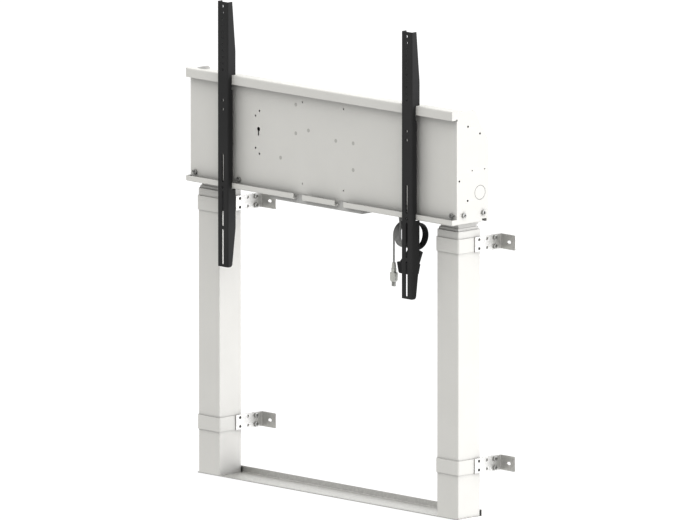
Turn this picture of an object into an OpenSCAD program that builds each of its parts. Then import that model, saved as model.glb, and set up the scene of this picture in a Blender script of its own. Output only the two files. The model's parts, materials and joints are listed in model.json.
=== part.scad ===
// Motorised floor lift for a flat screen. Two telescopic columns stand on a floor channel and are strapped
// to the wall. They carry a beam, and two slotted uprights hang on the beam's rails.
// X runs along the beam, Y towards the wall, Z up from the floor, with X = Y = 0 midway between the columns.

/* [Columns] */
// Distance between the column centres
column_spacing = 968; // [900:2:1080]
// Outside width of the square outer tube
outer_w = 85; // [82:1:95]
// Wall of the outer tube
outer_wall = 3; // [2:0.5:3.5]
// Outside corner radius of both tubes
tube_corner_r = 3; // [2:0.5:5]
// Gap between the outer and the inner tube, where the shoes run
slide_gap = 3.5; // [2.5:0.1:5]
// Wall of the inner tube
inner_wall = 2.5; // [2:0.5:4]
// How far the columns lift
stroke = 650; // [400:10:700]
// Inner tube left inside the outer tube at full lift
overlap = 126; // [115:1:200]
// Height of the inner tube's lower end above the floor
inner_foot_z = 35; // [30:1:60]
// Height of the collar on the outer tube
collar_h = 8; // [5:1:12]
// Width of the collar's flat rim
collar_rim = 1.5; // [1:0.5:2]
// Inner tube that shows above the collar when lowered
inner_show = 6; // [3:1:12]
// Running clearance of the guide and glide shoes
guide_clear = 0.3; // [0.2:0.05:0.5]
// Distance from a shoe to the corners of its tube
guide_inset = 11; // [8:1:20]
// Height of a guide or glide shoe
guide_h = 48; // [30:1:50]
// Thickness of the head plate
head_t = 8; // [6:1:12]
// How far the head plate passes the inner tube
head_over = 2; // [1:0.5:3]

/* [Drive] */
// Diameter of the lifting spindle
spindle_d = 20; // [16:1:24]
// Radial running clearance of the spindle
spindle_clear = 0.05; // [0.02:0.01:0.1]
// Diameter of the post that carries the nut
post_d = 36; // [32:1:44]
// Bore of the post
post_bore = 28; // [26:1:30]
// Thickness of the post's foot
foot_t = 8; // [6:1:12]
// Height of the drive nut
nut_h = 40; // [30:1:50]
// Diameter of the thrust collar on the spindle
thrust_d = 36; // [30:1:40]
// Thickness of the thrust collar
thrust_t = 12; // [8:1:14]
// How far the gearbox flange passes the head plate
gear_flange_over = 2; // [1:0.5:4]
// Thickness of the gearbox flange
gear_flange_t = 6; // [5:1:10]
// Room for a bolt head between the gearbox block and its bolts
gear_bolt_room = 7; // [6:0.5:8]
// Height of the gearbox block
gear_block_h = 44; // [40:1:60]
// Diameter of the motor
motor_d = 42; // [36:1:44]
// Length of the motor
motor_len = 120; // [80:1:150]
// Length of the motor's rear cap
motor_cap_len = 22; // [10:1:30]
// Length of the control unit
control_len = 220; // [100:1:400]
// Depth of the control unit
control_depth = 70; // [40:1:90]
// Height of the control unit
control_h = 60; // [30:1:100]

/* [Floor and wall] */
// Thickness of the floor channel's sheet
floor_t = 3; // [2:0.5:5]
// Height of the upstand
upstand_h = 20; // [12:1:40]
// Gap between the columns and the upstand
upstand_gap = 2.5; // [1:0.5:10]
// How far the floor channel passes the columns
floor_over = 3.5; // [0:0.5:20]
// Thickness of the straps
strap_t = 3; // [2:0.5:4]
// Height of the straps
strap_h = 40; // [36:1:60]
// Height of the lower strap's centre
lower_strap_z = 146.5; // [60:0.5:300]
// Depth of the upper strap's centre below the outer tube's top
upper_strap_drop = 41; // [25:1:150]
// Thickness of the wall brackets
bracket_t = 3; // [2:0.5:5]
// Height of the wall brackets
bracket_h = 42; // [36:1:60]
// Distance from the column centres to the wall
wall_y = 119; // [110:1:160]
// Length of a bracket's leg
bracket_leg = 102; // [95:1:110]
// Width of a bracket's wall flange
bracket_flange = 60; // [50:1:80]
// Distance of the last hole pair from the wall
pair_inset = 26.5; // [16:0.5:30]
// Distance between hole pairs
pair_pitch = 30; // [22:1:32]
// Distance between the two holes of a pair
pair_height = 25; // [18:1:25]
// Width of the wall slot
wall_slot_w = 9; // [6:0.5:12]
// Length of the wall slot
wall_slot_len = 14; // [13:0.5:20]
// Distance of the wall slot from the bracket's leg
wall_slot_x = 36; // [30:1:40]

/* [Beam] */
// Height of the beam over its rails
beam_h = 321; // [280:1:400]
// How far the beam passes the column centres
beam_over = 52; // [50:1:80]
// Thickness of the front panel's sheet
panel_t = 2.5; // [2:0.5:3]
// Distance of the panel's front face before the column centres
panel_front = 60; // [58:1:70]
// Depth of the rails before the panel
rail_depth = 18; // [15:1:25]
// Height of the upper rail's lip
top_lip_h = 26; // [20:1:40]
// Height of the lower rail's lip
bottom_lip_h = 16; // [12:1:30]
// Width of the two notches in the lower rail
notch_w = 35; // [20:1:50]
// Distance of the notches from the middle
notch_x = 83.5; // [60:0.5:120]
// Thickness of the end plates
end_t = 3; // [2:0.5:5]
// Distance of the end plates' rear edge behind the column centres
back_y = 62; // [60:1:80]
// Height of the sloped rear corner
back_slope_h = 112; // [80:1:140]
// Radius between the slope and the rear edge
back_r = 60; // [20:1:80]
// Diameter of the knock-out in the end plates
knockout_d = 40; // [20:1:50]
// Thickness of the beam tray's sheet
tray_t = 3; // [2:0.5:4]
// Height of the beam tray's walls
tray_h = 50; // [40:1:70]
// Thickness of the rear cover
cover_t = 1.5; // [1:0.5:2]
// Depth of the rear cover's top below the rails
cover_drop = 11; // [8:1:20]
// Length of the cable tray
cable_tray_len = 365; // [200:1:400]
// Depth of the cable tray
cable_tray_w = 60; // [40:1:65]
// Height of the cable tray
cable_tray_h = 13; // [10:1:20]

/* [Uprights] */
// Distance between the uprights
upright_spacing = 745; // [400:1:900]
// Width of an upright
upright_w = 42; // [34:1:60]
// Thickness of an upright's sheet
upright_t = 2; // [1.5:0.5:2.5]
// Length of an upright
upright_len = 750; // [720:1:900]
// Height of an upright above the beam
upright_above = 207; // [205:1:300]
// Full depth of an upright's flanges
upright_deep = 29.5; // [26:0.5:32]
// Depth of the flanges in front of the rails' lips
upright_lip_depth = 15; // [12:0.5:18]
// Depth of the flanges between the rails
upright_mid_depth = 18.8; // [18.5:0.1:20]
// Clearance between an upright and the rails
rail_clear = 0.4; // [0.3:0.05:0.6]
// Diameter of the round screen holes
screen_hole_d = 8; // [5:0.5:9]
// Pitch of the round screen holes
screen_pitch = 18; // [12:0.5:18]
// Width of the screen slots
screen_slot_w = 7.5; // [6:0.5:12]

/* [Fasteners] */
// Thread diameter of the hex bolts
bolt_d = 8; // [6:1:8]
// Width of a hex head across its flats
hex_af = 13; // [10:0.5:13]
// Height of a hex head
hex_head_h = 5.3; // [4:0.1:6]
// Height of a hex nut
hex_nut_h = 6.5; // [5:0.1:7]
// Radial clearance of a bolt in its hole
bolt_clear = 0.05; // [0.03:0.01:0.2]

/* [Handset and leads] */
// Diameter of the supply lead
supply_d = 5; // [4:0.5:5]
// Diameter of the handset lead
handset_lead_d = 5; // [4:0.5:5]
// Thickness of the handset
handset_t = 18; // [16:1:24]
// Diameter of a handset button
button_d = 13; // [10:0.5:15]
// Radial clearance of a button
button_clear = 0.3; // [0.2:0.05:0.5]
// How far a button stands out
button_proud = 1.5; // [1.3:0.1:2]

/* [Hidden] */
$fn = 64;
// How far a cutting shape runs past the face that it cuts
past = 1;
left = -1;
right = 1;

// Columns and drive
column_x = column_spacing / 2;
opening_w = outer_w - 2 * outer_wall;
inner_w = opening_w - 2 * slide_gap;
outer_top = inner_foot_z + stroke + overlap;
collar_top = outer_top + collar_h;
inner_top = collar_top + inner_show;
beam_z = inner_top + head_t;
collar_clear = 0.5;
collar_ledge = 3.5;
collar_ledge_h = 1;
head_w = inner_w + 2 * head_over;
guide_t = slide_gap - guide_clear;
guide_w = inner_w - 2 * guide_inset;
guide_margin = 2;
foot_clear = 1.5;
foot_w = opening_w - 2 * foot_clear;
spindle_foot_gap = 14;
spindle_z = floor_t + foot_t + spindle_foot_gap;
nut_margin = 15;
nut_z = spindle_z + stroke + nut_margin;
screw_head_r = bolt_d / 2 + floor_t;
screw_inset = 12;
screw_offset = foot_w / 2 - screw_inset;

// Straps and brackets
strap_half = outer_w / 2 + strap_t;
pair_y = [for (k = [0 : 2]) wall_y - pair_inset - k * pair_pitch];
strap_margin = 10;
strap_reach = pair_y[0] + strap_margin;
upper_strap_z = outer_top - upper_strap_drop;
bracket_corner_r = 4;
bolt_hole_r = bolt_d / 2 + bolt_clear;
bolt_tail = 2;

// Beam, with heights measured from its underside
beam_half = column_x + beam_over;
rail_front = panel_front + rail_depth;
notch_web = 1.6;
notch_depth = rail_depth - notch_web;
panel_back = panel_front - panel_t;
bend_r = 1.5;
crest_drop = 3;
end_crest = beam_h - crest_drop;
crest_front = -25;
crest_r = 10;
shoulder_w = 6;
end_foot = 2;
slope_angle = 60;
cover_inset = 3.5;
cover_bend_rise = 6;
tray_back = back_y - cover_inset - cover_t;
beam_bolt_z = 26;
front_bolt_in = 144;
front_bolt_out = 35;
front_bolt_x = [column_x - front_bolt_in, column_x + front_bolt_out];
end_bolt_y = [-34, 41];
gear_bolt_inset = 6;
gear_bolt = head_w / 2 - gear_bolt_inset;
gear_flange_w = head_w + 2 * gear_flange_over;
gear_block_w = 2 * (gear_bolt - gear_bolt_room);
gear_bolt_bite = 6;
motor_clear = 1;
motor_step = 3;
control_step = 2;
control_lid_h = 14;
gear_bolt_gap = 1;
bearing_lid = 8;
bearing_gap = 2;
thrust_clear = 1;
thrust_lift = 0.5;
knockout_gap = 0.3;
knockout_place = [29, 84];
end_holes = [[-17, beam_h - 48], [29, beam_h - 72], [-50, 123], [-18, 65]];
end_hole_r = 3;
end_pilots = [[-1, 148], [47, 148]];
end_pilot_r = 2;
small_hole_r = 3;
edge_hole_inset = 6;
panel_holes = [[-258, 229], [-258, 108], [-274, 214], [-274, 123], [-366, 214], [-366, 123]];
stud_hole_r = 2.5;
stud_hole_z = [44, 274];
keyhole = [-262, 177];
keyhole_r = 6;
keyhole_slot = [5, 18];
tray_slot_y = [37, 54];
tray_slot_h = 6;
cable_tray_x = -207;
cable_tray_front = -63.4;
tray_tab_top = 14;
tray_tab_clear = 0.5;
cable_tray_t = 1.5;

// Uprights, with heights measured from the beam's underside and holes measured down from the top
upright_top = beam_h + upright_above;
upright_foot = upright_top - upright_len;
upright_front = rail_front + rail_clear + upright_lip_depth;
upright_top_depth = 17.5;
upright_foot_depth = 16;
upright_top_taper = 140;
upright_foot_flat = 110;
short_flange_top = -69;
short_flange_depth = 11;
upright_bend_r = 2;
lip_notch_h = 40;
notch_step = 4;
upright_foot_r = 8;
lower_notch_gap = 2;
first_hole = 12.5;
screen_hole_count = 11;
screen_holes = [for (k = [0 : screen_hole_count - 1]) first_hole + k * screen_pitch];
single_holes = [278.5, 303.5, upright_len - 225];
// Height of each slot's lower end above the foot, and its length
screen_slots = [[6.5, 100], [115, 100], [240, 80]];
hook_t = 2;
hook_side_gap = 0.3;
hook_top_reach = 14;
hook_bottom_reach = 9;
hook_bend_r = 1;

// Handset, with its place measured from the beam's underside and its shape from its foot
handset_x = 283;
handset_z = -173;
handset_block_h = 31;
handset_half = 38;
handset_edge = [[28, 0], [31.5, 4], [handset_half, handset_block_h]];
handset_front = concat(handset_edge, [for (k = [2 : -1 : 0]) [-handset_edge[k].x, handset_edge[k].y]]);
handset_corner_r = 1.5;
neck_front = [[33.5, 20], [34.5, 62.5], [22, 65.5], [-18.5, 65.5], [-36.5, 31.5], [-36.5, 20]];
neck_lean = 22;
neck_t = 7;
neck_len = 40;
handset_relief = [27, -4];
handset_relief_h = 12;
handset_relief_r = [4.8, 3.5];
button_x = 14;
button_z = 16;
button_pocket = 6;
button_gap_below = 2;

// Leads, with heights measured from the beam's underside
lead_hole_clear = 1;
supply_relief_h = 22;
relief_wall = [3, 1];
gland_flange = 6;
gland_flange_h = 3;
supply_loops = 5;
supply_loop_r = 34;
supply_pitch = -5.3;
handset_grommet_h = 6;
grommet_wall = 3;
handset_loops = 4;
handset_loop_r = 36;
handset_pitch = 5.7;
coil_z = -63;
coil_steps = 24;
coil_sides = 6;
lead_sides = 8;
straight_steps = 4;
supply_entry = [285.5, -supply_loop_r];
supply_end_x = supply_entry.x + supply_loops * supply_pitch;
supply_plug_z = -140;
supply_drop_route = straight_route(supply_entry, -supply_relief_h, coil_z + supply_d);
supply_tail_route = straight_route([supply_end_x, supply_entry.y], coil_z - supply_d, supply_plug_z);
handset_entry = [301.7, -handset_loop_r];
handset_end_x = handset_entry.x + handset_loops * handset_pitch;
handset_relief_top = handset_z + handset_block_h + handset_relief_h;
handset_drop_route = straight_route(handset_entry, -handset_grommet_h, coil_z + handset_lead_d);
handset_tail_route = concat(
    [[handset_end_x, handset_entry.y, coil_z - handset_lead_d], [handset_end_x, handset_entry.y, -72]],
    [[324.3, -36.6, -78], [323.3, -36, -84.5], [321.5, -33.3, -91.5], [319, -27, -99]],
    [[316, -18.5, -107], [313, -10.5, -115], [311, -6, -123]],
    [[handset_x + handset_relief.x, handset_relief.y, handset_relief_top]]
);
plug_boot_h = 16;
plug_boot_r = [5.2, 6.2];
plug_neck = [11.3, 9.8, 12];
plug_body = [20.7, 11.2, 26];
plug_chamfer = 4.5;
plug_low = -plug_boot_h - plug_neck.z - plug_body.z;
nose = [11.3, 5.5, 12.7];
nose_wall = 0.8;
nose_tongue = [8, 1.6, 10];
tie_t = 1.2;
tie_w = 4;
tie_clear = 0.4;

// Shared shapes

function unit(v) = v / norm(v);

// Points of the arc that rounds corner b between its neighbours a and c
function corner_arc(a, b, c, r, steps = 8) =
    let (
        u = unit(a - b),
        v = unit(c - b),
        half = acos(u * v) / 2,
        centre = b + unit(u + v) * r / sin(half),
        p = b + u * r / tan(half) - centre,
        q = b + v * r / tan(half) - centre,
        start = atan2(p.y, p.x),
        sweep = (atan2(q.y, q.x) - start + 540) % 360 - 180
    )
    [for (k = [0 : steps]) centre + r * [cos(start + sweep * k / steps), sin(start + sweep * k / steps)]];

// Outline with all its corners rounded
function rounded(points, r) =
    let (n = len(points))
    [for (k = [0 : n - 1]) each corner_arc(points[(k + n - 1) % n], points[k], points[(k + 1) % n], r)];

module rounded_square(w, r) {
    square([w, w - 2 * r], center = true);
    square([w - 2 * r, w], center = true);
    for (x = [-1, 1], y = [-1, 1])
        translate([x, y] * (w / 2 - r)) circle(r = r);
}

// Sheet bent at right angles along a centre line, with inside radius r
module folded(path, t, r) {
    last = len(path) - 1;
    mid_r = r + t / 2;
    reach = r + t;
    for (k = [0 : last - 1]) {
        u = unit(path[k + 1] - path[k]);
        a = path[k] + u * (k == 0 ? 0 : mid_r);
        b = path[k + 1] - u * (k == last - 1 ? 0 : mid_r);
        side = [-u.y, u.x] * t / 2;
        polygon([a + side, b + side, b - side, a - side]);
    }
    for (k = [1 : last - 1]) {
        u = unit(path[k] - path[k - 1]);
        v = unit(path[k + 1] - path[k]);
        centre = path[k] + (v - u) * mid_r;
        intersection() {
            translate(centre) difference() {
                circle(r = reach);
                circle(r = r);
            }
            polygon([centre, centre + u * reach, centre + (u - v) * reach, centre - v * reach]);
        }
    }
}

// Extrudes a (Y, Z) outline along X, from x
module along_x(x, length) {
    translate([x, 0, 0]) rotate([90, 0, 90]) linear_extrude(length) children();
}

// Extrudes an (X, Z) outline along Y, from y
module along_y(y, length) {
    translate([0, y + length, 0]) rotate([90, 0, 0]) linear_extrude(length) children();
}

module rod_x(x, y, z, r, length) {
    translate([x, y, z]) rotate([0, 90, 0]) cylinder(r = r, h = length);
}

module rod_y(x, y, z, r, length) {
    translate([x, y, z]) rotate([-90, 0, 0]) cylinder(r = r, h = length);
}

// Hex bolt along +Z, with the underside of its head at the origin and its head below
module hex_bolt(shank) {
    translate([0, 0, -hex_head_h]) cylinder(r = hex_af / sqrt(3), h = hex_head_h, $fn = 6);
    cylinder(d = bolt_d, h = shank);
}

module hex_nut() {
    difference() {
        cylinder(r = hex_af / sqrt(3), h = hex_nut_h, $fn = 6);
        translate([0, 0, -past]) cylinder(r = bolt_hole_r, h = hex_nut_h + 2 * past);
    }
}

function tangent(path, k) = unit(path[min(k + 1, len(path) - 1)] - path[max(k - 1, 0)]);

// Ring of points round a lead's route, turned from the X direction
function lead_ring(path, k, r, sides) =
    let (
        t = tangent(path, k),
        a = unit(cross(t, [1, 0, 0])),
        b = cross(t, a)
    )
    [for (s = [0 : sides - 1]) path[k] + r * (cos(360 * s / sides) * a + sin(360 * s / sides) * b)];

// Unbroken tube along a route
module lead(path, d, sides) {
    rings = len(path);
    points = [for (k = [0 : rings - 1]) each lead_ring(path, k, d / 2, sides)];
    walls = [
        for (k = [0 : rings - 2], s = [0 : sides - 1])
            let (
                a = k * sides + s,
                b = k * sides + (s + 1) % sides
            )
            each [[a, b, b + sides], [a, b + sides, a + sides]]
    ];
    far = (rings - 1) * sides;
    caps = [for (s = [1 : sides - 2]) each [[0, s + 1, s], [far, far + s, far + s + 1]]];
    polyhedron(points, concat(walls, caps));
}

// Route of a lead that hangs straight down from one height to another
function straight_route(place, high, low) =
    [for (k = [0 : straight_steps]) [place.x, place.y, high + (low - high) * k / straight_steps]];

// Route of a wound lead that comes down its front, with a straight end of one diameter above and below
function coil_route(entry, d, loops, loop_r, pitch) =
    let (
        turns = [
            for (k = [0 : loops * coil_steps])
                let (turn = k / coil_steps)
                [
                    entry.x + pitch * turn,
                    -loop_r * cos(360 * turn),
                    coil_z - loop_r * sin(360 * turn)
                ]
        ],
        first = turns[0] + [0, 0, d],
        final = turns[len(turns) - 1] - [0, 0, d]
    )
    concat([first], turns, [final]);

// Least gap between points of a wound lead that lie half a loop or more apart
function least_gap(path, d) =
    min([
        for (k = [0 : len(path) - 1], m = [k + coil_steps / 2 : 1 : len(path) - 1])
            norm(path[k] - path[m])
    ]) - d;

supply_coil_route = coil_route(supply_entry, supply_d, supply_loops, supply_loop_r, supply_pitch);
handset_coil_route = coil_route(handset_entry, handset_lead_d, handset_loops, handset_loop_r, handset_pitch);
echo(supply_coil_least_gap = least_gap(supply_coil_route, supply_d));
echo(handset_coil_least_gap = least_gap(handset_coil_route, handset_lead_d));

// Floor channel

module floor_channel() {
    front = -outer_w / 2;
    back = outer_w / 2 + upstand_gap + floor_t;
    length = column_spacing + outer_w + 2 * floor_over;
    path = [[front, floor_t / 2], [back - floor_t / 2, floor_t / 2], [back - floor_t / 2, upstand_h]];
    color("gainsboro") difference() {
        along_x(-length / 2, length) folded(path, floor_t, bend_r);
        at_column_screws() column_screw(bolt_clear);
    }
}

// Columns

module at_column(side) {
    translate([side * column_x, 0, 0]) children();
}

module outer_tube(side) {
    color("whitesmoke") at_column(side) translate([0, 0, floor_t]) linear_extrude(outer_top - floor_t)
        difference() {
            rounded_square(outer_w, tube_corner_r);
            square(opening_w, center = true);
        }
}

// Collar that steps in from the outer tube, cut square for the inner tube
module collar(side) {
    rim = inner_w / 2 + collar_clear + collar_rim;
    step = outer_w / 2 - collar_ledge;
    profile = [
        [-outer_w / 2, 0], [outer_w / 2, 0], [step, collar_ledge_h], [rim, collar_h],
        [-rim, collar_h], [-step, collar_ledge_h]
    ];
    hole_w = inner_w + 2 * collar_clear;
    color("whitesmoke") at_column(side) translate([0, 0, outer_top]) difference() {
        intersection() {
            along_x(-outer_w / 2, outer_w) polygon(profile);
            along_y(-outer_w / 2, outer_w) polygon(profile);
        }
        translate([0, 0, collar_h / 2]) cube([hole_w, hole_w, 2 * collar_h], center = true);
    }
}

// Four shoes round a tube, with their outer faces at the given distance from its centre
module shoes(side, face, z) {
    at_column(side) for (turn = [0 : 90 : 270])
        rotate(turn) translate([face - guide_t, -guide_w / 2, z]) cube([guide_t, guide_w, guide_h]);
}

module upper_guides() {
    color("dimgray") for (side = [left, right])
        shoes(side, opening_w / 2, outer_top - guide_margin - guide_h);
}

module lower_glides() {
    color("dimgray") for (side = [left, right])
        shoes(side, inner_w / 2 + guide_t, inner_foot_z);
}

module inner_tube(side) {
    height = inner_top - inner_foot_z;
    color("whitesmoke") at_column(side) translate([0, 0, inner_foot_z]) linear_extrude(height)
        difference() {
            rounded_square(inner_w, tube_corner_r);
            square(inner_w - 2 * inner_wall, center = true);
        }
}

module nut_post(side) {
    color("silver") at_column(side) difference() {
        union() {
            translate([-foot_w / 2, -foot_w / 2, floor_t]) cube([foot_w, foot_w, foot_t]);
            translate([0, 0, floor_t]) cylinder(d = post_d, h = nut_z - floor_t);
        }
        translate([0, 0, floor_t + foot_t]) cylinder(d = post_bore, h = nut_z);
        for (x = [-1, 1], y = [-1, 1])
            translate([x, y] * screw_offset) cylinder(r = bolt_hole_r, h = 2 * foot_t);
    }
}

module drive_nuts() {
    color("goldenrod") for (side = [left, right]) at_column(side) translate([0, 0, nut_z]) difference() {
        cylinder(d = post_d, h = nut_h);
        translate([0, 0, -past]) cylinder(r = spindle_d / 2 + spindle_clear, h = nut_h + 2 * past);
    }
}

// Countersunk screw from under the floor channel into the foot of a column
module column_screw(clear) {
    cylinder(r1 = screw_head_r + clear, r2 = bolt_d / 2 + clear, h = floor_t);
    translate([0, 0, floor_t]) cylinder(r = bolt_d / 2 + clear, h = foot_t);
}

module at_column_screws() {
    for (side = [left, right], x = [-1, 1], y = [-1, 1])
        at_column(side) translate([x, y] * screw_offset) children();
}

module column_screws() {
    color("silver") at_column_screws() column_screw(0);
}

module head_plates() {
    color("lightgray") for (side = [left, right]) at_column(side) difference() {
        translate([-head_w / 2, -head_w / 2, inner_top]) cube([head_w, head_w, head_t]);
        translate([0, 0, inner_top - past]) cylinder(d = post_bore, h = head_t + 2 * past);
        gear_bolt_corners() translate([0, 0, beam_z - gear_bolt_bite]) cylinder(r = bolt_hole_r, h = head_t);
    }
}

// Straps and wall brackets

// Holes of the three pairs, along X at both sides of a column
module pair_holes(z, half) {
    for (y = pair_y, dz = [-1, 1])
        rod_x(-half, y, z + dz * pair_height / 2, bolt_hole_r, 2 * half);
}

module strap(side, z) {
    mid = outer_w / 2 + strap_t / 2;
    color("whitesmoke") at_column(side) difference() {
        translate([0, 0, z - strap_h / 2]) linear_extrude(strap_h)
            folded([[-mid, strap_reach], [-mid, -mid], [mid, -mid], [mid, strap_reach]],
                strap_t, tube_corner_r);
        pair_holes(z, strap_half + past);
    }
}

// Bracket on the +X side of a column
module wall_bracket(z) {
    mid_x = strap_half + bracket_t / 2;
    mid_y = wall_y - bracket_t / 2;
    tip = strap_half + bracket_flange;
    high = bracket_h / 2;
    path = [[mid_x, wall_y - bracket_leg], [mid_x, mid_y], [tip + past, mid_y]];
    slot_run = (wall_slot_len - wall_slot_w) / 2;
    difference() {
        intersection() {
            translate([0, 0, z - bracket_h]) linear_extrude(2 * bracket_h)
                folded(path, bracket_t, bend_r);
            translate([0, 0, z]) along_y(0, 2 * wall_y) polygon(concat(
                [[strap_half - past, high], [strap_half - past, -high]],
                corner_arc([strap_half, -high], [tip, -high], [tip, high], bracket_corner_r),
                corner_arc([tip, -high], [tip, high], [strap_half, high], bracket_corner_r)
            ));
        }
        pair_holes(z, strap_half + bracket_t + past);
        translate([strap_half + wall_slot_x, wall_y - 2 * bracket_t, z]) {
            for (dx = [-slot_run, slot_run])
                rod_y(dx, 0, 0, wall_slot_w / 2, 3 * bracket_t);
            translate([-slot_run, 0, -wall_slot_w / 2]) cube([2 * slot_run, 3 * bracket_t, wall_slot_w]);
        }
    }
}

module wall_brackets(side, z) {
    color("silver") at_column(side) for (hand = [0, 1])
        mirror([hand, 0, 0]) wall_bracket(z);
}

// Places of the bolts in the pair of holes nearest the wall, on the +X side of their column
module at_bracket_bolts() {
    for (side = [left, right], hand = [0, 1], z = [lower_strap_z, upper_strap_z], dz = [-1, 1])
        at_column(side) mirror([hand, 0, 0]) translate([0, pair_y[0], z + dz * pair_height / 2])
            rotate([0, -90, 0]) children();
}

module bracket_bolts() {
    grip = strap_t + bracket_t;
    color("silver") at_bracket_bolts()
        translate([0, 0, -(strap_half + bracket_t)]) hex_bolt(grip + hex_nut_h + bolt_tail);
}

module bracket_nuts() {
    color("silver") at_bracket_bolts() translate([0, 0, -outer_w / 2]) hex_nut();
}

// Beam

module at_beam() {
    translate([0, 0, beam_z]) children();
}

module beam_tray() {
    inner_half = beam_half - tray_t;
    color("lightgray") at_beam() difference() {
        translate([-beam_half, -panel_back, 0]) cube([2 * beam_half, panel_back + tray_back, tray_h]);
        translate([-inner_half, tray_t - panel_back, tray_t])
            cube([2 * inner_half, panel_back + tray_back - 2 * tray_t, tray_h]);
        for (side = [left, right]) {
            at_column(side) translate([0, 0, -past]) cylinder(d = post_bore, h = tray_t + 2 * past);
            at_column(side) gear_bolt_corners()
                translate([0, 0, -past]) cylinder(r = bolt_hole_r, h = tray_t + 2 * past);
        }
        beam_bolt_holes();
        end_slots();
        lead_hole(supply_entry, supply_d);
        lead_hole(handset_entry, handset_lead_d);
    }
}

module lead_hole(place, d) {
    translate([place.x, place.y, -past])
        cylinder(r = d / 2 + lead_hole_clear, h = tray_t + 2 * past);
}

// Openings low in the rear of both beam ends
module end_slots() {
    size = [4 * (tray_t + end_t), tray_slot_y[1] - tray_slot_y[0], 2 * (tray_t + tray_slot_h)];
    for (side = [left, right])
        translate([side * beam_half, (tray_slot_y[0] + tray_slot_y[1]) / 2, 0]) cube(size, center = true);
}

module beam_bolt_holes() {
    end_reach = tray_t + end_t + past;
    for (side = [left, right]) {
        for (x = front_bolt_x)
            rod_y(side * x, -panel_front - past, beam_bolt_z, bolt_hole_r, panel_t + tray_t + 2 * past);
        for (y = end_bolt_y)
            rod_x(side * beam_half - end_reach, y, beam_bolt_z, bolt_hole_r, 2 * end_reach);
    }
}

module panel_hole(x, z, r) {
    rod_y(x, -panel_front - past, z, r, panel_t + 2 * past);
}

module front_panel() {
    web = -panel_front + panel_t / 2;
    lip = -rail_front + panel_t / 2;
    low = panel_t / 2;
    high = beam_h - panel_t / 2;
    path = [
        [lip, bottom_lip_h], [lip, low], [web, low], [web, high], [lip, high], [lip, beam_h - top_lip_h]
    ];
    color("whitesmoke") at_beam() difference() {
        along_x(-beam_half, 2 * beam_half) folded(path, panel_t, bend_r);
        beam_bolt_holes();
        for (side = [left, right]) {
            translate([side * notch_x - notch_w / 2, -rail_front - past, -past])
                cube([notch_w, notch_depth + past, bottom_lip_h + 2 * past]);
            for (z = stud_hole_z)
                panel_hole(side * notch_x, z, stud_hole_r);
            panel_hole(side * (beam_half - edge_hole_inset), beam_bolt_z, small_hole_r);
        }
        for (place = panel_holes)
            panel_hole(place.x, place.y, small_hole_r);
        panel_hole(keyhole.x, keyhole.y, keyhole_r);
        translate([keyhole.x - keyhole_slot.x / 2, -panel_front - past, keyhole.y - keyhole_slot.y])
            cube([keyhole_slot.x, panel_t + 2 * past, keyhole_slot.y]);
    }
}

// Crest point of a rear slope that rises from the given point
function slope_end(from, height) = [from.x - (height - from.y) / tan(slope_angle), height];

module end_outline() {
    slope_foot = [back_y, beam_h - back_slope_h + back_r * tan((90 - slope_angle) / 2)];
    crest = slope_end(slope_foot, end_crest);
    top_lip_z = beam_h - top_lip_h;
    front = [
        [-rail_front, end_foot], [-rail_front, bottom_lip_h], [-panel_front, bottom_lip_h],
        [-panel_front, top_lip_z], [-rail_front, top_lip_z], [-rail_front, beam_h], [-panel_back, beam_h]
    ];
    shoulder = [shoulder_w - panel_back, end_crest - crest_drop];
    rise = [crest_front, end_crest];
    foot = [back_y, end_foot];
    polygon(concat(
        front,
        [shoulder, rise],
        corner_arc(rise, crest, slope_foot, crest_r),
        corner_arc(crest, slope_foot, foot, back_r),
        [foot]
    ));
}

module end_plate(side) {
    x = side == right ? beam_half : -beam_half - end_t;
    color("white") at_beam() difference() {
        along_x(x, end_t) difference() {
            end_outline();
            translate([-panel_front, beam_h - top_lip_h]) circle(r = end_hole_r);
            for (place = end_holes)
                translate(place) circle(r = end_hole_r);
            for (place = end_pilots)
                translate(place) circle(r = end_pilot_r);
            translate(knockout_place) circle(d = knockout_d);
        }
        beam_bolt_holes();
        end_slots();
    }
}

module knockout_discs() {
    color("white") at_beam() for (x = [beam_half, -beam_half - end_t])
        rod_x(x, knockout_place.x, knockout_place.y, knockout_d / 2 - knockout_gap, end_t);
}

module rear_cover() {
    outer_y = back_y - cover_inset;
    bend = [outer_y, beam_h - back_slope_h + cover_bend_rise];
    crest_z = beam_h - cover_drop;
    crest = slope_end(bend, crest_z);
    inner_y = outer_y - cover_t;
    inner_bend = [inner_y, bend.y - cover_t * tan((90 - slope_angle) / 2)];
    inner_crest = slope_end(inner_bend, crest_z - cover_t);
    front = -panel_back;
    color("whitesmoke") at_beam() along_x(-beam_half, 2 * beam_half) polygon([
        [outer_y, 0], bend, crest, [front, crest_z], [front, crest_z - cover_t],
        inner_crest, inner_bend, [inner_y, 0]
    ]);
}

// Channel under the beam, with a tab of its front wall in each notch of the lower rail
module cable_tray() {
    front = cable_tray_front + cable_tray_t / 2;
    back = cable_tray_front + cable_tray_w - cable_tray_t / 2;
    low = cable_tray_t / 2 - cable_tray_h;
    tab_foot = -cable_tray_h / 2;
    tab_w = notch_w - 2 * tray_tab_clear;
    color("darkgray") at_beam() {
        along_x(cable_tray_x, cable_tray_len)
            folded([[front, 0], [front, low], [back, low], [back, 0]], cable_tray_t, bend_r);
        for (side = [left, right])
            translate([side * notch_x - tab_w / 2, cable_tray_front, tab_foot])
                cube([tab_w, cable_tray_t, tray_tab_top - tab_foot]);
    }
}

module gear_bolt_corners() {
    for (x = [-1, 1], y = [-1, 1])
        translate([x, y] * gear_bolt) children();
}

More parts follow.
